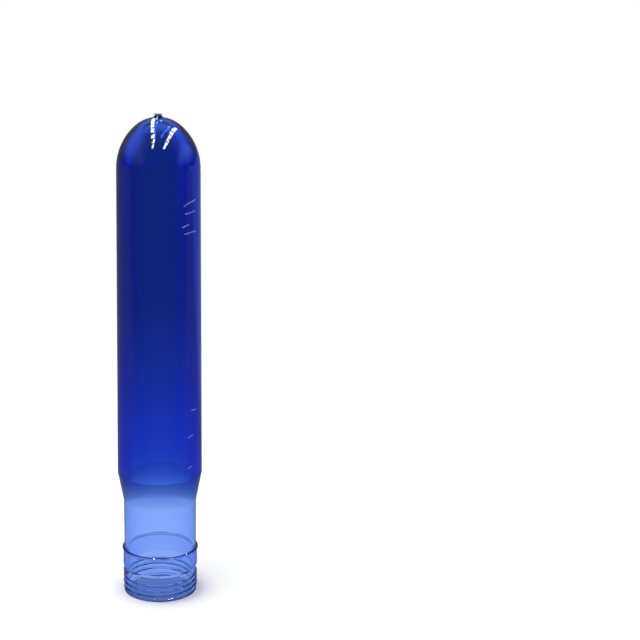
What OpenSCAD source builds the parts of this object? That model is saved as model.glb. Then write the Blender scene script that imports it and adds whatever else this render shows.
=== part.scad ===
// Preform of a large water bottle: one injection-moulded piece of clear blue PET.
// It stands on its mouth, as it does before it is heated and blown.
// Origin: centre of the mouth's sealing face. +Z runs up the axis to the gate.

/* [Mouth] */
// Diameter of the neck between the turns of the thread
root_d = 53; // [48:0.1:60]
// Wall of the neck under the thread; the bore behind the mouth follows from it
neck_wall = 2.45; // [1.8:0.05:3.5]
// How far the lip stands out over the neck
lip_step = 0.45; // [0.2:0.05:0.7]
// Height of the lip
lip_h = 1.5; // [1:0.1:1.8]
// Radius that rounds the lip's edges
lip_round = 0.5; // [0.2:0.05:0.7]

/* [Thread] */
// Height of the thread's crest over the neck
thread_depth = 1; // [0.8:0.05:1.8]
// Rise of the right-hand thread in one turn
thread_pitch = 4.2; // [3.8:0.1:4.3]
// Number of turns
thread_turns = 3.1; // [1:0.05:3.2]
// Height of the thread's middle where it starts
thread_start_z = 3.1; // [2.7:0.05:3.4]
// Direction in which the thread starts, turned from +X
thread_start_angle = 170; // [0:5:355]
// Width of the thread's crest
thread_crest_w = 0.9; // [0.5:0.05:1.2]
// Slope of the flank that faces the bead, from the horizontal
upper_flank_angle = 15; // [5:1:30]
// Slope of the flank that faces the mouth, from the horizontal
lower_flank_angle = 42; // [30:1:45]
// Angle over which each end of the thread rises out of the neck
runout_angle = 15; // [10:1:40]
// Height of the neck that carries the thread
thread_zone_h = 18.9; // [18.2:0.1:21]

/* [Band] */
// How far the plain band above the thread stands out over the neck
band_step = 1; // [0.4:0.05:1.3]
// Height of the cone from the thread up to the band
band_cone_h = 2; // [1:0.1:4]
// Height of the band, up to the middle of its bead
band_h = 13.2; // [6:0.1:20]
// How far the bead along the band's upper edge stands out over the band
bead_step = 0.7; // [0.4:0.05:1.2]
// Radius of the bead's round section
bead_round = 1.1; // [0.8:0.05:1.8]

/* [Neck tube] */
// How far the thin tube stands out over the neck, next to the bead
tube_step = 0.1; // [0:0.05:0.6]
// How much further it stands out at the shoulder
tube_draft = 0.25; // [0:0.05:0.6]
// Height of the tube, from the middle of the bead to the shoulder
tube_h = 37.9; // [20:0.1:60]

/* [Shoulder and body] */
// Height of the shoulder cone
shoulder_h = 22; // [12:0.5:40]
// Outer diameter of the body at the shoulder
body_d = 62.2; // [56:0.1:70]
// Outer diameter of the body where the dome begins
body_tip_d = 60; // [54:0.1:68]
// Height of the body, from the shoulder to the dome
body_h = 228; // [120:1:320]
// Wall of the body above the bore's taper; the bore follows from it
body_wall = 9.4; // [6:0.1:12]
// Wall of the body where the dome begins
tip_wall = 9; // [6:0.1:12]
// Height over which the bore tapers from the tube into the body
bore_taper_h = 50; // [22:1:90]

/* [Dome and gate] */
// Height of the dome, from the body to its round nose's tip
dome_h = 36.6; // [32:0.1:44]
// Radius of the dome's round nose
nose_r = 24.9; // [18:0.1:27]
// Wall of the dome at the gate
gate_wall = 5.2; // [3.5:0.1:9]
// How much narrower the core's round nose is than the bore below it
core_nose_step = 5; // [2:0.1:6]
// Diameter of the sprue stub left at the gate
stub_d = 5.2; // [3:0.1:8]
// Height of the stub above the dome
stub_h = 2.7; // [2.4:0.1:6]
// Radius that blends the stub into the dome
stub_fillet = 2.2; // [0.5:0.1:2.3]
// Depth of the pit in the stub's cut top
pit_depth = 0.5; // [0.2:0.05:0.8]

/* [Hidden] */

// Fineness of round faces, of the bore's taper and of the thread's sweep
$fn = 96;
taper_steps = 16;
steps_per_turn = 48;

// Radii that follow from the neck and from the walls
root_r = root_d / 2;
mouth_bore_r = root_r - neck_wall;
lip_r = root_r + lip_step;
band_r = root_r + band_step;
bead_r = band_r + bead_step;
tube_r = root_r + tube_step;
body_r = body_d / 2;
body_tip_r = body_tip_d / 2;
bore_r = body_r - body_wall;
bore_tip_r = body_tip_r - tip_wall;

// Levels up the axis
band_z = thread_zone_h + band_cone_h;
bead_z = band_z + band_h;
shoulder_z = bead_z + tube_h;
body_z = shoulder_z + shoulder_h;
dome_z = body_z + body_h;
apex_z = dome_z + dome_h;
nose_z = apex_z - nose_r;
stub_z = apex_z + stub_h;
pit_r = (pow(stub_d / 2, 2) + pow(pit_depth, 2)) / (2 * pit_depth);

// The thread starts inside the wall
thread_sink = 0.7;
crest_round = 0.15;
past = 1;

// Half of an ogive, from its foot to its tip: a long arc runs into a round nose
module ogive(foot_r, height, tip_r) {
    nose_h = height - tip_r;
    arc_r = (pow(nose_h, 2) / (foot_r - tip_r) + foot_r + tip_r) / 2;
    intersection() {
        translate([foot_r - arc_r, 0]) circle(r = arc_r, $fn = 4 * $fn);
        square([foot_r, nose_h * arc_r / (arc_r - tip_r)]);
    }
    intersection() {
        translate([0, nose_h]) circle(r = tip_r, $fn = 4 * $fn);
        translate([0, nose_h]) square([tip_r, tip_r]);
    }
}

// What a round edge takes off a square corner that points to -X and -Y
module corner_waste(r) {
    difference() {
        translate([-past, -past]) square(r + past);
        translate([r, r]) circle(r);
        translate([0, r]) square([r, past]);
        translate([r, 0]) square([past, r]);
    }
}

// Half section of the stub that the sprue leaves, with its blend into the dome
module stub_section() {
    fillet_x = stub_d / 2 + stub_fillet;
    fillet_h = sqrt(pow(nose_r + stub_fillet, 2) - pow(fillet_x, 2));
    touch = nose_r / (nose_r + stub_fillet);
    difference() {
        union() {
            translate([0, nose_z]) square([stub_d / 2, nose_r + stub_h]);
            translate([0, nose_z]) polygon([
                [0, fillet_h],
                [fillet_x, fillet_h],
                [fillet_x, fillet_h] * touch,
                [0, fillet_h * touch - past]
            ]);
        }
        translate([fillet_x, nose_z + fillet_h]) circle(stub_fillet);
        translate([0, stub_z - pit_depth + pit_r]) circle(pit_r, $fn = 4 * $fn);
    }
}

// Half section of the whole outside, thread apart
module outer_section() {
    polygon([
        [0, 0],
        [lip_r, 0],
        [lip_r, lip_h],
        [root_r, lip_h + lip_step],
        [root_r, thread_zone_h],
        [band_r, band_z],
        [band_r, bead_z],
        [tube_r, bead_z],
        [tube_r + tube_draft, shoulder_z],
        [body_r, body_z],
        [body_tip_r, dome_z],
        [0, dome_z]
    ]);
    translate([bead_r - bead_round, bead_z]) circle(bead_round);
    translate([0, dome_z]) ogive(body_tip_r, dome_h, nose_r);
    stub_section();
}

// Half section of the core pin that forms the bore
module core_section() {
    polygon([
        [0, -past],
        [mouth_bore_r, -past],
        for (i = [0 : taper_steps])
            [
                bore_r + (mouth_bore_r - bore_r) * (1 + cos(180 * i / taper_steps)) / 2,
                shoulder_z + bore_taper_h * i / taper_steps
            ],
        [bore_tip_r, dome_z],
        [0, dome_z]
    ]);
    translate([0, dome_z])
        ogive(bore_tip_r, dome_h - gate_wall, bore_tip_r - core_nose_step);
}

// Half section of the wall, with the lip's edges rounded
module wall_section() {
    difference() {
        outer_section();
        core_section();
        translate([mouth_bore_r, 0]) corner_waste(lip_round);
        translate([lip_r, 0]) mirror([1, 0]) corner_waste(lip_round);
    }
}

// Section of the thread as [height over the root, offset up the axis], closed through the wall
function thread_section(height) =
    let (
        half = thread_crest_w / 2,
        fall = height - crest_round + thread_sink
    ) [
        [-thread_sink, -half - crest_round - fall * tan(lower_flank_angle)],
        [height - crest_round, -half - crest_round],
        [height, -half],
        [height, half],
        [height - crest_round, half + crest_round],
        [-thread_sink, half + crest_round + fall * tan(upper_flank_angle)]
    ];

// Share of its full height that the thread has at an angle along it
function thread_rise(angle) =
    let (
        left = thread_turns * 360 - angle,
        near_end = min(1, min(angle, left) / runout_angle)
    ) sin(90 * near_end);

// The thread alone, swept along its right-hand helix
module thread() {
    rings = round(thread_turns * steps_per_turn);
    sunk = -thread_sink / 2;
    points = [
        for (i = [0 : rings])
            let (
                along = i * thread_turns * 360 / rings,
                turned = thread_start_angle + along,
                height = sunk + (thread_depth - sunk) * thread_rise(along),
                middle = thread_start_z + thread_pitch * along / 360
            )
            for (p = thread_section(height))
                [
                    (root_r + p[0]) * cos(turned),
                    (root_r + p[0]) * sin(turned),
                    middle + p[1]
                ]
    ];
    sides = len(thread_section(thread_depth));
    last = rings * sides;
    faces = [
        [for (k = [0 : sides - 1]) k],
        for (i = [0 : rings - 1], k = [0 : sides - 1])
            let (a = i * sides + k, b = i * sides + (k + 1) % sides)
            [a, a + sides, b + sides, b],
        [for (k = [sides - 1 : -1 : 0]) last + k]
    ];
    polyhedron(points, faces, convexity = 6);
}

// The preform: one revolved wall with its thread
module preform() {
    color([0.09, 0.19, 0.62]) union() {
        rotate_extrude() wall_section();
        thread();
    }
}

preform();
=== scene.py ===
"""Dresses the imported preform: clear blue PET with its smooth thread, on a white studio floor."""

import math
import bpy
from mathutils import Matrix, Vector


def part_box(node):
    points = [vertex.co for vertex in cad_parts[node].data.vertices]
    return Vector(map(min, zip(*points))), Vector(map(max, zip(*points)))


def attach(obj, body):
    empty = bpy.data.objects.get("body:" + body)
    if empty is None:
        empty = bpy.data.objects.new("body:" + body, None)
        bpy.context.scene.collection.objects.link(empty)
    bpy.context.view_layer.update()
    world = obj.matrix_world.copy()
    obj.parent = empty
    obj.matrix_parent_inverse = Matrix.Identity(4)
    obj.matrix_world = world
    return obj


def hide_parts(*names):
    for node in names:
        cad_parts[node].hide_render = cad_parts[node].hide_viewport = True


bl_info = {
    "name": "Bottle Preform",
    "version": (1, 0, 0),
    "blender": (4, 5, 0),
    "location": "View3D > Sidebar > Preform",
    "description": "Moulds a clear PET bottle preform and sets up its studio",
    "category": "Object",
}

import bpy
from bpy.props import FloatProperty, FloatVectorProperty, IntProperty, PointerProperty
from bpy.types import Operator, Panel, PropertyGroup
from mathutils import Quaternion, Vector

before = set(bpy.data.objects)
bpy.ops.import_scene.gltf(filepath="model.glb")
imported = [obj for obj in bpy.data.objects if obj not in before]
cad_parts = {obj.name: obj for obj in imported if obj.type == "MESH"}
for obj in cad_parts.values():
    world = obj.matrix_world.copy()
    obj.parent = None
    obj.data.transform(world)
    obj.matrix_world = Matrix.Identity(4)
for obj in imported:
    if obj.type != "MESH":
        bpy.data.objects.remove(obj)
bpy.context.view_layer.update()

NODE = "preform"
_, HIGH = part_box(NODE)
MM = 0.001


# ---------------------------------------------------------------- sizes and colours


def length(name, description, default):
    """A length in metres, shown in the scene's units."""
    return FloatProperty(
        name=name, description=description, default=default, unit="LENGTH", precision=5
    )


def turn(name, description, default):
    """An angle given in degrees and kept in radians."""
    return FloatProperty(
        name=name, description=description, default=math.radians(default), unit="ROTATION"
    )


class NeckSizes(PropertyGroup):
    """Sizes of the neck finish: lip, thread, band and bead."""

    bore_r: length("Bore Radius", "Radius of the straight bore behind the mouth", 24.05 * MM)
    lip_r: length("Lip Radius", "Outer radius of the lip round the mouth", 26.95 * MM)
    lip_h: length("Lip Height", "Height of the lip", 1.5 * MM)
    lip_round: length("Lip Rounding", "Radius that rounds the lip's edges", 0.5 * MM)
    root_r: length("Root Radius", "Radius of the neck between the turns of the thread", 26.5 * MM)
    crest_r: length("Crest Radius", "Radius over the thread's crest", 27.5 * MM)
    pitch: length("Pitch", "Rise of the right-hand thread in one turn", 4.2 * MM)
    turns: FloatProperty(name="Turns", description="Number of turns of the thread", default=3.1)
    start_z: length("Start Height", "Height of the thread's middle where it starts", 3.1 * MM)
    start_angle: turn("Start Angle", "Direction in which the thread starts, turned from +X", 170)
    crest_w: length("Crest Width", "Width of the thread's crest", 0.9 * MM)
    flank_up: turn("Upper Flank", "Slope of the flank that faces the bead, from the horizontal", 15)
    flank_down: turn(
        "Lower Flank", "Slope of the flank that faces the mouth, from the horizontal", 42
    )
    runout: turn("Run-out", "Angle over which each end of the thread rises out of the neck", 15)
    soften: length("Softening", "Blend at the thread's foot and crest", 0.15 * MM)
    parting: turn("Parting Line", "Direction of the neck mould's parting line, from +X", 266)
    relief: length("Parting Relief", "Depth of the flats where the mould's halves meet", 0.08 * MM)
    zone_h: length("Thread Zone", "Height of the neck that carries the thread", 18.9 * MM)
    cone_h: length("Cone Height", "Height of the cone from the thread up to the band", 2.0 * MM)
    band_r: length("Band Radius", "Outer radius of the plain band", 27.5 * MM)
    band_h: length("Band Height", "Height of the band, up to the middle of its bead", 13.2 * MM)
    bead_r: length("Bead Radius", "Outer radius of the bead on the band's upper edge", 28.2 * MM)
    bead_round: length("Bead Rounding", "Radius of the bead's round section", 1.1 * MM)


class BodySizes(PropertyGroup):
    """Sizes of the tube, the shoulder, the body, the dome and the gate."""

    tube_r: length("Tube Radius", "Outer radius of the thin tube, next to the bead", 26.6 * MM)
    tube_draft: length(
        "Tube Draft", "How much further the tube stands out at the shoulder", 0.25 * MM
    )
    tube_h: length("Tube Height", "Height of the tube, from the bead to the shoulder", 37.9 * MM)
    shoulder_h: length("Shoulder Height", "Height of the shoulder cone", 22.0 * MM)
    body_r: length("Body Radius", "Outer radius of the body at the shoulder", HIGH[0])
    tip_r: length("Tip Radius", "Outer radius of the body where the dome begins", 30.0 * MM)
    body_h: length("Body Height", "Height of the body, from the shoulder to the dome", 228.0 * MM)
    bore_r: length("Bore Radius", "Radius of the bore above its taper", 21.7 * MM)
    bore_tip_r: length("Bore Tip Radius", "Radius of the bore where the dome begins", 21.0 * MM)
    taper_h: length(
        "Bore Taper", "Height over which the bore narrows from the shoulder on", 50.0 * MM
    )
    nose_r: length("Nose Radius", "Radius of the dome's round nose", 24.9 * MM)
    core_nose_r: length("Core Nose Radius", "Radius of the bore's round nose", 16.0 * MM)
    gate_wall: length("Gate Wall", "Wall of the dome at the gate", 5.2 * MM)
    stub_r: length("Stub Radius", "Radius of the sprue stub left at the gate", 2.6 * MM)
    stub_h: length("Stub Height", "Height of the stub above the dome", 2.7 * MM)
    stub_fillet: length("Stub Fillet", "Radius that blends the stub into the dome", 2.2 * MM)
    pit: length("Pit Depth", "Depth of the pit in the stub's cut top", 0.5 * MM)
    sides: IntProperty(name="Sides", description="Faces round the axis", default=256, min=64)


class PlasticLook(PropertyGroup):
    """Finish of the tinted PET."""

    index: FloatProperty(
        name="IOR", description="Refractive index of amorphous PET", default=1.575
    )
    tint: FloatVectorProperty(
        name="Tint",
        description="Colour that the wall lets through",
        default=(0.02, 0.365, 0.885),
        subtype="COLOR",
    )
    density: FloatProperty(
        name="Density", description="Absorption per metre of wall", default=260.0
    )
    roughness: FloatProperty(
        name="Roughness", description="Roughness of the polished faces", default=0.015
    )


# ---------------------------------------------------------------- profile

# Roundings of the outer profile's corners
BODY_EDGE = 0.5 * MM
SHOULDER_FLARE = 6.0 * MM
BAND_EDGE = 0.3 * MM
CONE_FOOT = 0.5 * MM
LIP_FOOT = 0.2 * MM
# Extra ring on the stub's straight side, this far under its cut top
STUB_RING = 0.25 * MM
# Gap between the stub's fillet and the dome's first point outside it
FILLET_GAP = 0.3 * MM
# Longest stretch of the profile, the longest one beside the thread, and how far past it that goes
COARSE = 8.0 * MM
FINE = 0.2 * MM
FINE_PAST_THREAD = 1.0 * MM
# Stretches in the taper of the bore and in the arcs
TAPER_STEPS = 24
NOSE_STEPS = 28
SIDE_STEPS = 24
PIT_STEPS = 6
FILLET_STEPS = 8
BEAD_STEPS = 14


def arc(centre, radius, start, end, steps):
    """Points on an arc about centre = (r, z), from angle start to end in radians."""
    angles = [start + (end - start) * i / steps for i in range(steps + 1)]
    return [
        (centre[0] + radius * math.cos(angle), centre[1] + radius * math.sin(angle))
        for angle in angles
    ]


def rounded(corners, steps=6):
    """A polyline through corners = [(r, z, rounding), ...], with each inner corner rounded."""
    points = [corners[0][:2]]
    for before, corner, after in zip(corners, corners[1:], corners[2:]):
        here = Vector(corner[:2])
        back = (Vector(before[:2]) - here).normalized()
        ahead = (Vector(after[:2]) - here).normalized()
        if corner[2] == 0.0:
            points.append(tuple(here))
            continue
        half = back.angle(ahead) / 2
        run = corner[2] / math.tan(half)
        first, last = here + back * run, here + ahead * run
        centre = here + (back + ahead).normalized() * (corner[2] / math.sin(half))
        for i in range(steps + 1):
            toward = (first - centre).slerp(last - centre, i / steps)
            points.append(tuple(centre + toward.normalized() * corner[2]))
    points.append(corners[-1][:2])
    return points


def divided(points, step):
    """The same polyline with no stretch longer than step(z) allows."""
    result = [points[0]]
    for a, b in zip(points, points[1:]):
        gap = math.dist(a, b)
        count = max(1, math.ceil(gap / step((a[1] + b[1]) / 2)))
        result += [
            (a[0] + (b[0] - a[0]) * k / count, a[1] + (b[1] - a[1]) * k / count)
            for k in range(1, count + 1)
        ]
    return result


def ogive(foot_r, foot_z, tip_z, nose_r):
    """Points of a dome from its nose down to its foot, and the height of the nose's centre."""
    nose_z = tip_z - nose_r
    arc_r = ((nose_z - foot_z) ** 2 / (foot_r - nose_r) + foot_r + nose_r) / 2
    lean = math.acos((arc_r - foot_r) / (arc_r - nose_r))
    nose = arc((0.0, nose_z), nose_r, math.pi / 2, lean, NOSE_STEPS)
    side = arc((foot_r - arc_r, foot_z), arc_r, lean, 0.0, SIDE_STEPS)
    return nose + side[1:], nose_z


def outside(neck, body, levels):
    """The outer half profile, from the pit in the stub down to the mouth."""
    top = HIGH[2]
    dome, nose_z = ogive(body.tip_r, levels["dome"], top - body.stub_h, body.nose_r)
    pit_r = (body.stub_r**2 + body.pit**2) / (2 * body.pit)
    pit_end = -math.pi / 2 + math.asin(body.stub_r / pit_r)
    pit = arc((0.0, top - body.pit + pit_r), pit_r, -math.pi / 2, pit_end, PIT_STEPS)
    reach = body.nose_r + body.stub_fillet
    lean = math.acos((body.stub_r + body.stub_fillet) / reach)
    fillet_at = (body.stub_r + body.stub_fillet, nose_z + reach * math.sin(lean))
    fillet = arc(fillet_at, body.stub_fillet, math.pi, math.pi + lean, FILLET_STEPS)
    dome = [p for p in dome if p[0] > fillet[-1][0] + FILLET_GAP]
    shell = rounded(
        [
            (*dome[-1], 0),
            (body.body_r, levels["body"], BODY_EDGE),
            (body.tube_r + body.tube_draft, levels["tube"], SHOULDER_FLARE),
            (body.tube_r, levels["bead"] + neck.bead_round, 0),
        ]
    )
    centre = neck.bead_r - neck.bead_round
    meet_tube = math.pi - math.acos((centre - body.tube_r) / neck.bead_round)
    meet_band = -math.acos((neck.band_r - centre) / neck.bead_round)
    bead_at = (centre, levels["bead"])
    bead = arc(bead_at, neck.bead_round, meet_tube, meet_band, BEAD_STEPS)
    finish = rounded(
        [
            (neck.band_r, levels["bead"] - neck.bead_round, 0),
            (neck.band_r, levels["band"], BAND_EDGE),
            (neck.root_r, neck.zone_h, CONE_FOOT),
            (neck.root_r, neck.lip_h + neck.lip_r - neck.root_r, LIP_FOOT),
            (neck.lip_r, neck.lip_h, LIP_FOOT),
            (neck.lip_r, 0.0, neck.lip_round),
            ((neck.lip_r + neck.bore_r) / 2, 0.0, 0),
        ]
    )
    return pit + [(body.stub_r, top - STUB_RING)] + fillet + dome[:-1] + shell[:-1] + bead + finish


def inside(neck, body, levels):
    """The bore's half profile, from the mouth up to the tip of the core."""
    tip_z = HIGH[2] - body.stub_h - body.gate_wall
    dome, _ = ogive(body.bore_tip_r, levels["dome"], tip_z, body.core_nose_r)
    mouth = rounded(
        [
            ((neck.lip_r + neck.bore_r) / 2, 0.0, 0),
            (neck.bore_r, 0.0, neck.lip_round),
            (neck.bore_r, levels["tube"], 0),
        ]
    )
    taper = []
    for step in range(1, TAPER_STEPS + 1):
        share = (1 + math.cos(math.pi * step / TAPER_STEPS)) / 2
        radius = body.bore_r + (neck.bore_r - body.bore_r) * share
        taper.append((radius, levels["tube"] + body.taper_h * step / TAPER_STEPS))
    return mouth[1:] + taper + dome[::-1]


def profile(neck, body):
    """The whole closed half profile, finely divided where the thread runs."""
    levels = {"band": neck.zone_h + neck.cone_h}
    levels["bead"] = levels["band"] + neck.band_h
    levels["tube"] = levels["bead"] + body.tube_h
    levels["body"] = levels["tube"] + body.shoulder_h
    levels["dome"] = levels["body"] + body.body_h
    outer = divided(
        outside(neck, body, levels),
        lambda z: FINE if z < neck.zone_h + FINE_PAST_THREAD else COARSE,
    )
    return outer + divided(inside(neck, body, levels), lambda z: COARSE)


# ---------------------------------------------------------------- node helpers

WHITE = (1.0, 1.0, 1.0, 1.0)


class Tree:
    """A node tree under construction: adds nodes, links sockets and does sums on them."""

    def __init__(self, tree):
        self.nodes = tree.nodes
        self.links = tree.links

    def node(self, kind, inputs=None, **settings):
        """A new node with its settings, and its inputs set or linked by name or number."""
        made = self.nodes.new(kind)
        for key, value in settings.items():
            setattr(made, key, value)
        for key, value in (inputs or {}).items():
            if isinstance(value, bpy.types.NodeSocket):
                self.links.new(value, made.inputs[key])
            else:
                made.inputs[key].default_value = value
        return made

    def sum(self, operation, *values):
        """The output of one Math node."""
        return self.node("ShaderNodeMath", dict(enumerate(values)), operation=operation).outputs[0]

    def vector(self, operation, inputs, output="Vector"):
        """One output of a Vector Math node."""
        return self.node("ShaderNodeVectorMath", inputs, operation=operation).outputs[output]

    def axes(self, vector):
        """The X, Y and Z of a vector."""
        return self.node("ShaderNodeSeparateXYZ", {0: vector}).outputs

    def glow(self, colour=WHITE, strength=1.0):
        """A plain emission."""
        return self.node("ShaderNodeEmission", {"Color": colour, "Strength": strength}).outputs[0]

    def blend(self, share, first, second):
        """The first shader where share is 0 and the second where it is 1."""
        return self.node("ShaderNodeMixShader", {0: share, 1: first, 2: second}).outputs[0]


def emptied(owner):
    """The node tree of a new material or world, with nothing in it."""
    owner.use_nodes = True
    owner.node_tree.nodes.clear()
    return Tree(owner.node_tree)


def smooth_step(tree, value, low, high):
    """0 at low, 1 at high and a soft rise between; low may be the larger of the two."""
    inputs = {"Value": value, "From Min": low, "From Max": high}
    return tree.node("ShaderNodeMapRange", inputs, interpolation_type="SMOOTHSTEP").outputs[0]


def ramp(tree, value, stops):
    """A colour that runs through stops = [(value, colour), ...]."""
    low, high = stops[0][0], stops[-1][0]
    part = tree.sum("DIVIDE", tree.sum("SUBTRACT", value, low), high - low)
    made = tree.node("ShaderNodeValToRGB", {"Fac": part})
    elements = made.color_ramp.elements
    while len(elements) < len(stops):
        elements.new(0.5)
    for element, (at, colour) in zip(elements, stops):
        element.position = (at - low) / (high - low)
        element.color = (*colour, 1.0)
    return made.outputs[0]


# ---------------------------------------------------------------- preform

THREAD_INPUTS = (
    "root_r",
    "crest_r",
    "pitch",
    "turns",
    "start_z",
    "start_angle",
    "crest_w",
    "flank_up",
    "flank_down",
    "runout",
)
OTHER_INPUTS = ("soften", "parting", "relief", "zone_h", "bead_r", "band_r")
# Margin where a point's radius is compared with the root's or the band's
SKIN = 0.05 * MM
# How deep under its top the stub's break reaches, and how much lower its rim is front and back
BREAK_H = 1.0 * MM
BREAK_DIP = 0.6 * MM
# Points closer than this are one, and edges that bend less than this are shaded smooth
MERGE = 0.0005 * MM
SMOOTH_BEND = math.radians(40)


def thread_height(tree, given, angle, height):
    """Height of the thread over the neck's root, at an angle round the axis and a height up it."""
    turned = tree.sum("WRAP", tree.sum("SUBTRACT", angle, given["start_angle"]), math.tau, 0.0)
    part = tree.sum("DIVIDE", turned, math.tau)
    risen = tree.sum("DIVIDE", tree.sum("SUBTRACT", height, given["start_z"]), given["pitch"])
    whole = tree.sum("ROUND", tree.sum("SUBTRACT", risen, part))
    last_turn = tree.sum("FLOOR", given["turns"])
    whole = tree.sum("MINIMUM", tree.sum("MAXIMUM", whole, 0.0), last_turn)
    along = tree.sum("ADD", whole, part)
    over = tree.sum("SUBTRACT", risen, along)
    away = tree.sum("MULTIPLY", tree.sum("ABSOLUTE", over), given["pitch"])
    above = tree.sum("GREATER_THAN", over, 0.0)
    steeper = tree.sum("SUBTRACT", given["flank_up"], given["flank_down"])
    slope = tree.sum("ADD", given["flank_down"], tree.sum("MULTIPLY", above, steeper))
    lean = tree.sum("TANGENT", slope)
    near_end = tree.sum("MINIMUM", along, tree.sum("SUBTRACT", given["turns"], along))
    rise = smooth_step(tree, near_end, 0.0, tree.sum("DIVIDE", given["runout"], math.tau))
    depth = tree.sum("MULTIPLY", tree.sum("SUBTRACT", given["crest_r"], given["root_r"]), rise)
    past_crest = tree.sum("SUBTRACT", away, tree.sum("MULTIPLY", given["crest_w"], 0.5))
    fall = tree.sum("DIVIDE", past_crest, lean)
    flank = tree.sum("SUBTRACT", depth, fall)
    return tree.sum("SMOOTH_MIN", depth, flank, given["soften"])


def preform_tree(neck, body):
    """Geometry nodes that turn a half profile round the axis and raise the thread on it."""
    group = bpy.data.node_groups.new("Turned Preform", "GeometryNodeTree")
    face = group.interface
    face.new_socket("Geometry", in_out="OUTPUT", socket_type="NodeSocketGeometry")
    face.new_socket("Profile", in_out="INPUT", socket_type="NodeSocketGeometry")
    face.new_socket("Sides", in_out="INPUT", socket_type="NodeSocketInt")
    face.new_socket("Material", in_out="INPUT", socket_type="NodeSocketMaterial")
    names = THREAD_INPUTS + OTHER_INPUTS
    for name in names:
        face.new_socket(name, in_out="INPUT", socket_type="NodeSocketFloat")
    tree = Tree(group)
    source = tree.node("NodeGroupInput").outputs
    given = {name: source[name] for name in names}

    # A grid with a column for each side and a row for each point of the profile
    counted = tree.node("GeometryNodeAttributeDomainSize", {"Geometry": source["Profile"]})
    rows = counted.outputs["Point Count"]
    around = tree.sum("ADD", source["Sides"], 1.0)
    grid = tree.node(
        "GeometryNodeMeshGrid",
        {"Size X": 1.0, "Size Y": 1.0, "Vertices X": around, "Vertices Y": rows},
    )
    place = tree.node("GeometryNodeInputPosition").outputs[0]
    flat = tree.axes(place)
    angle = tree.sum("MULTIPLY", tree.sum("ADD", flat["X"], 0.5), -math.tau)
    steps = tree.sum("SUBTRACT", rows, 1.0)
    row = tree.sum("ROUND", tree.sum("MULTIPLY", tree.sum("ADD", flat["Y"], 0.5), steps))
    sampled = tree.node(
        "GeometryNodeSampleIndex",
        {"Geometry": source["Profile"], "Value": place, "Index": row},
        data_type="FLOAT_VECTOR",
        domain="POINT",
    )
    spot = tree.axes(sampled.outputs[0])

    # The thread rises only from the outer face of the neck, below the band
    raised = tree.sum("ADD", given["root_r"], thread_height(tree, given, angle, spot["Z"]))
    raised = tree.sum("SMOOTH_MAX", spot["X"], raised, given["soften"])
    on_neck = tree.sum("GREATER_THAN", spot["X"], tree.sum("SUBTRACT", given["root_r"], SKIN))
    in_zone = tree.sum("LESS_THAN", spot["Z"], given["zone_h"])
    chosen = tree.sum("MULTIPLY", on_neck, in_zone)
    gain = tree.sum("MULTIPLY", chosen, tree.sum("SUBTRACT", raised, spot["X"]))
    radius = tree.sum("ADD", spot["X"], gain)

    # Flats where the two halves of the neck mould meet
    over_band = tree.sum("GREATER_THAN", spot["X"], tree.sum("ADD", given["band_r"], SKIN))
    widest = tree.sum("MULTIPLY", over_band, given["bead_r"])
    widest = tree.sum("MAXIMUM", given["crest_r"], widest)
    across = tree.sum("COSINE", tree.sum("SUBTRACT", angle, given["parting"]))
    across = tree.sum("MAXIMUM", tree.sum("ABSOLUTE", across), 0.5)
    limit = tree.sum("DIVIDE", tree.sum("SUBTRACT", widest, given["relief"]), across)
    mould_top = neck.zone_h + neck.cone_h + neck.band_h + neck.bead_round
    below_tube = tree.sum("LESS_THAN", spot["Z"], mould_top)
    cut = tree.sum("MINIMUM", radius, limit)
    loss = tree.sum("MULTIPLY", below_tube, tree.sum("SUBTRACT", cut, radius))
    radius = tree.sum("ADD", radius, loss)

    # The sprue was snapped off: the stub's rim is high at its sides and low at front and back
    on_stub = smooth_step(tree, spot["Z"], HIGH[2] - BREAK_H, HIGH[2])
    to_front = tree.sum("POWER", tree.sum("ABSOLUTE", tree.sum("SINE", angle)), 2.0)
    outward = tree.sum("DIVIDE", tree.sum("MINIMUM", spot["X"], body.stub_r), body.stub_r)
    dip = tree.sum("MULTIPLY", tree.sum("MULTIPLY", to_front, BREAK_DIP), outward)
    height = tree.sum("SUBTRACT", spot["Z"], tree.sum("MULTIPLY", on_stub, dip))

    point = {
        "X": tree.sum("MULTIPLY", radius, tree.sum("COSINE", angle)),
        "Y": tree.sum("MULTIPLY", radius, tree.sum("SINE", angle)),
        "Z": height,
    }
    target = tree.node("ShaderNodeCombineXYZ", point).outputs[0]
    moved = tree.node(
        "GeometryNodeSetPosition", {"Geometry": grid.outputs["Mesh"], "Position": target}
    )
    closed = tree.node(
        "GeometryNodeMergeByDistance", {"Geometry": moved.outputs[0], "Distance": MERGE}
    )
    bend = tree.node("GeometryNodeInputMeshEdgeAngle").outputs["Unsigned Angle"]
    soft = tree.sum("LESS_THAN", bend, SMOOTH_BEND)
    shaded = tree.node(
        "GeometryNodeSetShadeSmooth",
        {"Geometry": closed.outputs[0], "Shade Smooth": soft},
        domain="EDGE",
    )
    real = tree.node("GeometryNodeRealizeInstances", {"Geometry": shaded.outputs[0]})
    dressed = tree.node(
        "GeometryNodeSetMaterial", {"Geometry": real.outputs[0], "Material": source["Material"]}
    )
    tree.node("NodeGroupOutput", {"Geometry": dressed.outputs[0]})
    return group


def baked(obj):
    """The object as a plain mesh of what its modifiers make, at the same place."""
    graph = bpy.context.evaluated_depsgraph_get()
    mesh = bpy.data.meshes.new_from_object(obj.evaluated_get(graph), depsgraph=graph)
    obj.modifiers.clear()
    obj.data = mesh
    return obj


def set_inputs(modifier, values):
    """Sets a Geometry Nodes modifier's inputs by their names in the tree."""
    for item in modifier.node_group.interface.items_tree:
        if item.in_out == "INPUT" and item.name in values:
            modifier[item.identifier] = values[item.name]


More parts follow.
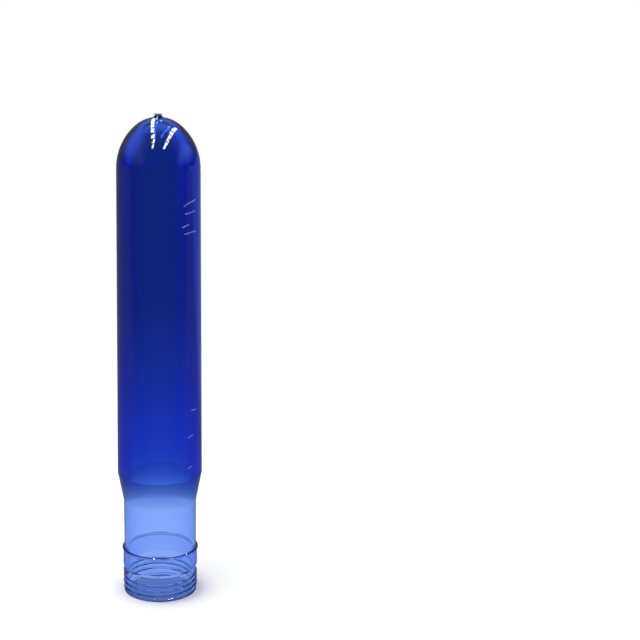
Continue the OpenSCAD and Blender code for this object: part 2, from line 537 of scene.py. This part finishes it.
# Painted reflections: pale strokes on the front's right, painted into the skin in place of
# reflected highlights: start and end as (x, z) in mm, and strength
PAINTED_REFLECTIONS = (
    ((18.0, 299.5), (20.5, 301.0), 1.0),
    ((20.5, 301.0), (25.5, 302.5), 0.6),
    ((19.0, 294.0), (25.0, 294.5), 1.0),
    ((17.0, 284.5), (21.0, 286.0), 0.9),
    ((18.5, 279.5), (25.5, 280.0), 1.0),
    ((23.5, 147.5), (26.0, 147.0), 0.35),
    ((20.5, 127.5), (24.0, 128.5), 0.35),
    ((20.5, 103.5), (23.0, 104.5), 0.35),
)
# Distances from a stroke's line where it fades out and where it is full
PAINTED_REFLECTION_EDGE = (0.6 * MM, 0.2 * MM)
PAINTED_REFLECTION_COLOUR = (0.10, 0.16, 1.0, 1.0)
PAINTED_REFLECTION_ROUGHNESS = 0.03
# Faint waviness of the moulded skin
WAVES = {"Scale": 90.0, "Detail": 1.0}
WAVE_STRENGTH = 0.25
WAVE_HEIGHT = 0.02 * MM


def painted_reflection_strokes(tree, where):
    """How strongly the painted reflection strokes mark a place on the skin, from 0 to 1."""
    at = tree.axes(where)
    flat = tree.node("ShaderNodeCombineXYZ", {"X": at["X"], "Z": at["Z"]}).outputs[0]
    painted_reflection = 0.0
    for start, end, strength in PAINTED_REFLECTIONS:
        start, end = (Vector((x, 0.0, z)) * MM for x, z in (start, end))
        run = end - start
        gone = tree.vector("SUBTRACT", {0: flat, 1: start})
        along = tree.vector("DOT_PRODUCT", {0: gone, 1: run / run.length_squared}, "Value")
        along = tree.sum("MINIMUM", tree.sum("MAXIMUM", along, 0.0), 1.0)
        beside = tree.vector("SCALE", {0: run, "Scale": along})
        off = tree.vector("DISTANCE", {0: gone, 1: beside}, "Value")
        mark = tree.sum("MULTIPLY", smooth_step(tree, off, *PAINTED_REFLECTION_EDGE), strength)
        painted_reflection = tree.sum("MAXIMUM", painted_reflection, mark)
    return tree.sum("MULTIPLY", painted_reflection, tree.sum("LESS_THAN", at["Y"], 0.0))


def tinted_plastic(look):
    """Clear blue PET: polished faces and a wall that deepens in colour as it thickens."""
    material = bpy.data.materials.new("Tinted PET")
    tree = emptied(material)
    where = tree.node("ShaderNodeTexCoord").outputs["Object"]
    waves = tree.node("ShaderNodeTexNoise", {"Vector": where, **WAVES}).outputs["Fac"]
    bump = tree.node(
        "ShaderNodeBump", {"Strength": WAVE_STRENGTH, "Distance": WAVE_HEIGHT, "Height": waves}
    )
    # Painted reflections: along the strokes the skin turns pale blue, less clear and a little
    # rougher
    painted_reflection = painted_reflection_strokes(tree, where)
    # Inputs 6 and 7 and output 2 are the mix node's colours
    skin = tree.node(
        "ShaderNodeMix", {"Factor": painted_reflection, 6: WHITE, 7: PAINTED_REFLECTION_COLOUR}, data_type="RGBA"
    )
    rougher = tree.sum("MULTIPLY", painted_reflection, PAINTED_REFLECTION_ROUGHNESS)
    shader = tree.node(
        "ShaderNodeBsdfPrincipled",
        {
            "Base Color": skin.outputs[2],
            "Roughness": tree.sum("ADD", look.roughness, rougher),
            "IOR": look.index,
            "Transmission Weight": tree.sum("SUBTRACT", 1.0, painted_reflection),
            "Normal": bump.outputs[0],
        },
    )
    tint = {"Color": (*look.tint, 1.0), "Density": look.density}
    wall = tree.node("ShaderNodeVolumeAbsorption", tint)
    tree.node(
        "ShaderNodeOutputMaterial", {"Surface": shader.outputs[0], "Volume": wall.outputs[0]}
    )
    return material


class PREFORM_OT_mould(Operator):
    """Moulds the preform: a turned wall with its smooth thread"""

    bl_idname = "preform.mould"
    bl_label = "Mould Preform"

    def execute(self, context):
        neck, body = context.scene.preform_neck, context.scene.preform_body
        points = profile(neck, body)
        edges = [(i, i + 1) for i in range(len(points) - 1)]
        mesh = bpy.data.meshes.new("preform_profile")
        mesh.from_pydata([(r, 0.0, z) for r, z in points], edges, [])
        piece = bpy.data.objects.new("moulded_preform", mesh)
        context.collection.objects.link(piece)
        modifier = piece.modifiers.new("Turned Preform", "NODES")
        modifier.node_group = preform_tree(neck, body)
        values = {name: getattr(neck, name) for name in NeckSizes.__annotations__}
        values["Sides"] = body.sides
        values["Material"] = tinted_plastic(context.scene.preform_look)
        set_inputs(modifier, values)
        piece = baked(piece)
        if len(piece.data.polygons) < body.sides:
            raise RuntimeError("the turned preform has no faces")
        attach(piece, "root")
        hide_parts(NODE)
        return {"FINISHED"}


# ---------------------------------------------------------------- studio


def grey(value):
    """A neutral colour."""
    return (value, value, value)


# Floor: its middle is the axis, and its face lies just under the mouth
FLOOR_HALF = 12.0
FLOOR_Z = -0.05 * MM
# Colour of the floor round the mouth, by distance, the middle of that shade, and its own light
FLOOR_SHADE = ((0.026, (0.52, 0.55, 0.64)), (0.031, (0.72, 0.74, 0.80)), (0.042, grey(0.85)))
SHADE_CENTRE = (0.004, -0.001, 0.0)
SHADE_LIFT = 0.12
# Distances between which the floor turns into plain white
PLAIN_FLOOR = (0.2, 0.6)
# What the floor shows through the plastic, by distance: bluish light round the mouth, then grey
FLOOR_THROUGH = (
    (0.0, (0.96, 1.02, 1.22)),
    (0.08, (0.98, 1.05, 1.22)),
    (0.25, (1.03, 1.08, 1.18)),
    (0.6, (0.80, 0.84, 0.92)),
)
# The shade inside the mouth, and the distances between which it fades in
MOUTH_SHADE = (0.16, 0.24, 0.56, 1.0)
MOUTH_EDGE = (0.028, 0.024)
# What the floor shows in reflections, by distance
FLOOR_MIRRORED = (
    (0.0, grey(0.10)),
    (0.04, grey(0.20)),
    (0.15, grey(0.20)),
    (0.30, grey(0.16)),
    (0.60, grey(0.16)),
)
# In reflections: a blue patch far off on the right, from X and Y, and a dim camera's side, from Y
BLUE_FLOOR = (0.2, 0.31, 1.0, 1.0)
BLUE_FLOOR_X = (0.05, 0.3)
BLUE_FLOOR_Y = (0.25, 0.5)
DIM_FLOOR = 0.07
DIM_FLOOR_Y = (-0.1, -0.3)

# What the low backdrop shows through the plastic, by height: all round, then on the right
BACKDROP = (
    (0.000, (1.03, 1.08, 1.18)),
    (0.020, (0.94, 0.98, 1.05)),
    (0.046, (0.80, 0.82, 0.86)),
    (0.068, grey(0.68)),
    (0.103, grey(0.53)),
    (0.150, grey(0.36)),
    (0.285, grey(0.32)),
    (0.300, (0.70, 0.80, 0.90)),
)
BACKDROP_RIGHT = (
    (0.000, (0.57, 0.70, 0.99)),
    (0.046, (0.66, 0.74, 0.95)),
    (0.103, (0.50, 0.55, 0.62)),
    (0.150, (0.36, 0.39, 0.48)),
    (0.210, (0.24, 0.29, 0.48)),
    (0.300, (0.29, 0.35, 0.60)),
)
# X over which the right's colours set in, and the left's share of them
RIGHT_X = (0.04, 0.09)
LEFT_X = (-0.1, -0.17)
LEFT_SHARE = 0.4
BACKDROP_R = 0.25
BACKDROP_H = 0.30
# Shelf inside the backdrop: inner radius, height of its top, and height of its underside, which is
# a dark sheet of painted shade
SHELF_R = 0.029
SHELF_TOP = 0.0600
SHELF_UNDERSIDE = 0.05999
# Painted shade: the very dark blue of the shelf's underside, and its strength
PAINTED_SHADE_COLOUR = (0.06, 0.12, 1.0, 1.0)
PAINTED_SHADE_STRENGTH = 0.07
# Colour level of the shelf's top: a share of the distance from the mouth, and one of the height
SHELF_LEVEL = (0.286, -0.19)
HOOP_SIDES = 96

# World through the plastic: Z of the direction over which it darkens, and by how much
OVERHEAD_Z = (0.3, 0.6)
OVERHEAD_LOSS = 0.9
# World in reflections: brighter overhead and behind
ROOM_BEHIND = 0.7
ROOM_RANGE = {"From Min": 0.2, "From Max": 1.0, "To Min": 0.04, "To Max": 0.3}
ROOM_COLOUR = (0.9, 0.95, 1.0, 1.0)
# World in reflections, by direction: a window on the left and a blue patch on the right
PATCH_Z = (0.0, 0.4)
WINDOW_X = (-0.5, -0.85)
WINDOW_STRENGTH = 0.35
BLUE_X = (0.76, 0.92)
BLUE_COLOUR = (0.35, 0.5, 1.0, 1.0)
BLUE_STRENGTH = 1.4

# Ceiling lamps: name, left and right X of the near end and of the far end, far end's Y, bars.
# X and Y are slopes from the axis at height LAMP_EYE, and the lamps hang LAMP_H above that.
LAMPS = (
    ("left", (-0.39, -0.24), (-0.17, -0.05), 2.6, 11),
    ("right", (0.30, 0.45), (0.81, 0.98), 1.0, 9),
)
LAMP_NEAR_Y = -0.98
LAMP_EYE = 0.35
LAMP_H = 1.6
# Bars crowd towards the near end by this power, and each fills this share of its place
BAR_POWER = 1.8
BAR_FILL = 0.55
# Strength of the lamps in the faces, and through the wall
LAMP_MIRRORED = 34.0
LAMP_THROUGH = 45.0

# Softbox above the preform, in front and on the left
SOFTBOX_AT = Vector((-0.3, -0.3, 1.5))
SOFTBOX_AIM = Vector((0.0, 0.0, 0.1))
SOFTBOX_SIZE = 1.0
SOFTBOX_POWER = 8.0

# Camera: its place, what it aims at, its roll, and its lens and sensor in mm
CAMERA_AT = Vector((0.0, -1.345, 0.588))
CAMERA_AIM = Vector((0.1172, 0.0, 0.2094))
CAMERA_ROLL = math.radians(1.07)
LENS = 107.84
SENSOR = 36.0


def plain_mesh(name, points, faces, material, unseen=()):
    """A mesh object for the stage, hidden from the kinds of ray in unseen."""
    mesh = bpy.data.meshes.new(name)
    mesh.from_pydata(points, [], faces)
    mesh.materials.append(material)
    made = bpy.data.objects.new(name, mesh)
    bpy.context.collection.objects.link(made)
    for ray in unseen:
        setattr(made, "visible_" + ray, False)
    return made


def lamp(name, corners, bars, material):
    """A louvred lamp between corners = near left and right, far right and left: a row of bars."""
    near_left, near_right, far_right, far_left = (Vector(corner) for corner in corners)
    points, faces = [], []
    for bar in range(bars):
        for part in ((bar / bars) ** BAR_POWER, ((bar + BAR_FILL) / bars) ** BAR_POWER):
            points += [near_left.lerp(far_left, part), near_right.lerp(far_right, part)]
        first = 4 * bar
        faces.append((first, first + 1, first + 3, first + 2))
    panel = plain_mesh(name, points, faces, material, ("camera", "diffuse", "shadow"))


def lamp_material():
    """Even white light, with one strength in the faces and one through the wall."""
    material = bpy.data.materials.new("Ceiling Lamp")
    tree = emptied(material)
    inner = tree.node("ShaderNodeLightPath").outputs["Is Transmission Ray"]
    more = tree.sum("MULTIPLY", inner, LAMP_THROUGH - LAMP_MIRRORED)
    light = tree.glow(strength=tree.sum("ADD", LAMP_MIRRORED, more))
    tree.node("ShaderNodeOutputMaterial", {"Surface": light})
    return material


def lamps():
    """The two ceiling lamps, which only reflections and the plastic show."""
    light = lamp_material()
    for name, near, far, end, bars in LAMPS:
        slopes = [(near[0], LAMP_NEAR_Y), (near[1], LAMP_NEAR_Y), (far[1], end), (far[0], end)]
        corners = [(x * LAMP_H, y * LAMP_H, LAMP_EYE + LAMP_H) for x, y in slopes]
        lamp("ceiling_lamp_" + name, corners, bars, light)


def floor_material():
    """White floor to the camera, with a shade round the mouth, and its own look to other rays."""
    material = bpy.data.materials.new("Studio Floor")
    tree = emptied(material)
    where = tree.node("ShaderNodeTexCoord").outputs["Object"]
    flat = tree.axes(where)
    away = tree.vector("LENGTH", {0: where}, "Value")
    # A tight bluish shade lies round the mouth, further out on the right
    beside = tree.vector("SUBTRACT", {0: where, 1: SHADE_CENTRE})
    beside = tree.vector("LENGTH", {0: beside}, "Value")
    near = tree.node("ShaderNodeBsdfDiffuse", {"Color": ramp(tree, beside, FLOOR_SHADE)})
    lift = tree.glow(strength=SHADE_LIFT)
    lit = tree.node("ShaderNodeAddShader", {0: near.outputs[0], 1: lift})
    far = smooth_step(tree, away, *PLAIN_FLOOR)
    seen = tree.blend(far, lit.outputs[0], tree.glow())
    # Through the plastic the mouth holds a shade
    in_mouth = smooth_step(tree, away, *MOUTH_EDGE)
    ground = tree.glow(ramp(tree, away, FLOOR_THROUGH))
    through = tree.blend(in_mouth, ground, tree.glow(MOUTH_SHADE))
    # In reflections it is blue far off on the right and dim on the camera's side
    on_right = smooth_step(tree, flat["X"], *BLUE_FLOOR_X)
    on_right = tree.sum("MULTIPLY", on_right, smooth_step(tree, flat["Y"], *BLUE_FLOOR_Y))
    mirrored = tree.glow(ramp(tree, away, FLOOR_MIRRORED))
    mirrored = tree.blend(on_right, mirrored, tree.glow(BLUE_FLOOR))
    in_front = smooth_step(tree, flat["Y"], *DIM_FLOOR_Y)
    mirrored = tree.blend(in_front, mirrored, tree.glow(strength=DIM_FLOOR))
    path = tree.node("ShaderNodeLightPath").outputs
    inner = tree.blend(path["Is Transmission Ray"], mirrored, through)
    both = tree.blend(path["Is Camera Ray"], inner, seen)
    tree.node("ShaderNodeOutputMaterial", {"Surface": both})
    return material


def studio_floor():
    """The wide floor."""
    turns = ((-1, -1), (1, -1), (1, 1), (-1, 1))
    corners = [(x * FLOOR_HALF, y * FLOOR_HALF, FLOOR_Z) for x, y in turns]
    floor = plain_mesh("floor", corners, [(0, 1, 2, 3)], floor_material())


def backdrop_material(name, slope, base):
    """The backdrop's light, at a level of slope times the distance plus base times the height."""
    material = bpy.data.materials.new(name)
    tree = emptied(material)
    where = tree.node("ShaderNodeTexCoord").outputs["Object"]
    at = tree.axes(where)
    away = tree.vector("LENGTH", {0: where}, "Value")
    rise = tree.sum("MULTIPLY", at["Z"], base)
    level = tree.sum("ADD", tree.sum("MULTIPLY", away, slope), rise)
    plain = tree.glow(ramp(tree, level, BACKDROP))
    right = tree.glow(ramp(tree, level, BACKDROP_RIGHT))
    on_left = tree.sum("MULTIPLY", smooth_step(tree, at["X"], *LEFT_X), LEFT_SHARE)
    beside = tree.sum("MAXIMUM", smooth_step(tree, at["X"], *RIGHT_X), on_left)
    tree.node("ShaderNodeOutputMaterial", {"Surface": tree.blend(beside, plain, right)})
    return material


def painted_shade_material():
    """Painted shade: a very dark blue that takes no light."""
    material = bpy.data.materials.new("Painted Shade")
    tree = emptied(material)
    light = tree.glow(PAINTED_SHADE_COLOUR, PAINTED_SHADE_STRENGTH)
    tree.node("ShaderNodeOutputMaterial", {"Surface": light})
    return material


def hoop(name, near, far, material):
    """A band round the axis from near = (radius, height) to far, which only the plastic shows."""
    around = HOOP_SIDES
    turns = [math.tau * i / around for i in range(around)]
    points = [(r * math.cos(t), r * math.sin(t), z) for r, z in (near, far) for t in turns]
    faces = [
        (i, (i + 1) % around, around + (i + 1) % around, around + i) for i in range(around)
    ]
    band = plain_mesh(name, points, faces, material, ("camera", "diffuse", "glossy", "shadow"))


def backdrop():
    """A low round backdrop, bright at its foot, and a shelf inside it whose underside is a dark
    sheet of painted shade.
    """
    wall = backdrop_material("Backdrop", 0.0, 1.0)
    hoop("backdrop", (BACKDROP_R, 0.0), (BACKDROP_R, BACKDROP_H), wall)
    top = backdrop_material("Shelf", *SHELF_LEVEL)
    hoop("shelf_top", (SHELF_R, SHELF_TOP), (BACKDROP_R, SHELF_TOP), top)
    # Painted shade: the shelf's underside is a dark sheet
    painted_shade = painted_shade_material()
    hoop("shelf_painted_shade", (SHELF_R, SHELF_UNDERSIDE), (BACKDROP_R, SHELF_UNDERSIDE), painted_shade)


def studio_world():
    """White to the camera, white with a dark top through the plastic, a dim room in reflections."""
    world = bpy.data.worlds.new("Studio")
    tree = emptied(world)
    path = tree.node("ShaderNodeLightPath").outputs
    toward = tree.axes(tree.node("ShaderNodeTexCoord").outputs["Generated"])

    def light(colour, strength):
        return tree.node("ShaderNodeBackground", {"Color": colour, "Strength": strength}).outputs[0]

    overhead = tree.sum("MULTIPLY", smooth_step(tree, toward["Z"], *OVERHEAD_Z), OVERHEAD_LOSS)
    beyond = light(WHITE, tree.sum("SUBTRACT", 1.0, overhead))
    over = tree.sum("ADD", toward["Z"], tree.sum("MULTIPLY", toward["Y"], ROOM_BEHIND))
    room = tree.node("ShaderNodeMapRange", {"Value": over, **ROOM_RANGE}).outputs[0]
    raised = smooth_step(tree, toward["Z"], *PATCH_Z)
    window = tree.sum("MULTIPLY", raised, WINDOW_STRENGTH)
    window = tree.sum("MULTIPLY", smooth_step(tree, toward["X"], *WINDOW_X), window)
    around = light(ROOM_COLOUR, tree.sum("ADD", room, window))
    on_right = tree.sum("MULTIPLY", smooth_step(tree, toward["X"], *BLUE_X), raised)
    around = tree.blend(on_right, around, light(BLUE_COLOUR, BLUE_STRENGTH))
    seen = tree.blend(path["Is Glossy Ray"], light(WHITE, 1.0), around)
    both = tree.blend(path["Is Transmission Ray"], seen, beyond)
    tree.node("ShaderNodeOutputWorld", {"Surface": both})
    bpy.context.scene.world = world


def softbox():
    """A square softbox that lights the floor and shows in no reflection."""
    data = bpy.data.lights.new("softbox", "AREA")
    data.shape = "SQUARE"
    data.size = SOFTBOX_SIZE
    data.energy = SOFTBOX_POWER
    light = bpy.data.objects.new("softbox", data)
    light.location = SOFTBOX_AT
    light.rotation_euler = (SOFTBOX_AIM - SOFTBOX_AT).to_track_quat("-Z", "Y").to_euler()
    light.visible_glossy = False
    light.visible_transmission = False
    bpy.context.collection.objects.link(light)


def studio_camera():
    """The camera, a little above the preform and turned so that it stands left of the middle."""
    data = bpy.data.cameras.new("Camera")
    data.lens = LENS
    data.sensor_width = SENSOR
    camera = bpy.data.objects.new("Camera", data)
    camera.location = CAMERA_AT
    aim = CAMERA_AIM - camera.location
    roll = Quaternion((0.0, 0.0, 1.0), CAMERA_ROLL)
    camera.rotation_mode = "QUATERNION"
    camera.rotation_quaternion = aim.to_track_quat("-Z", "Y") @ roll
    bpy.context.collection.objects.link(camera)
    bpy.context.scene.camera = camera


class PREFORM_OT_studio(Operator):
    """Sets up floor, backdrop, lamps and camera"""

    bl_idname = "preform.studio"
    bl_label = "Set Up Studio"

    def execute(self, context):
        studio_floor()
        backdrop()
        studio_world()
        lamps()
        softbox()
        studio_camera()
        return {"FINISHED"}


class PREFORM_PT_panel(Panel):
    """Lists the preform's tools"""

    bl_label = "Bottle Preform"
    bl_idname = "PREFORM_PT_panel"
    bl_space_type = "VIEW_3D"
    bl_region_type = "UI"
    bl_category = "Preform"

    def draw(self, context):
        for tool in (PREFORM_OT_mould, PREFORM_OT_studio):
            self.layout.operator(tool.bl_idname)


CLASSES = (
    NeckSizes,
    BodySizes,
    PlasticLook,
    PREFORM_OT_mould,
    PREFORM_OT_studio,
    PREFORM_PT_panel,
)


def register():
    for cls in CLASSES:
        bpy.utils.register_class(cls)
    bpy.types.Scene.preform_neck = PointerProperty(type=NeckSizes)
    bpy.types.Scene.preform_body = PointerProperty(type=BodySizes)
    bpy.types.Scene.preform_look = PointerProperty(type=PlasticLook)


def unregister():
    del bpy.types.Scene.preform_look
    del bpy.types.Scene.preform_body
    del bpy.types.Scene.preform_neck
    for cls in reversed(CLASSES):
        bpy.utils.unregister_class(cls)


def main():
    register()
    bpy.context.scene.view_settings.view_transform = "Standard"
    bpy.ops.preform.mould()
    bpy.ops.preform.studio()


if __name__ == "__main__":
    main()
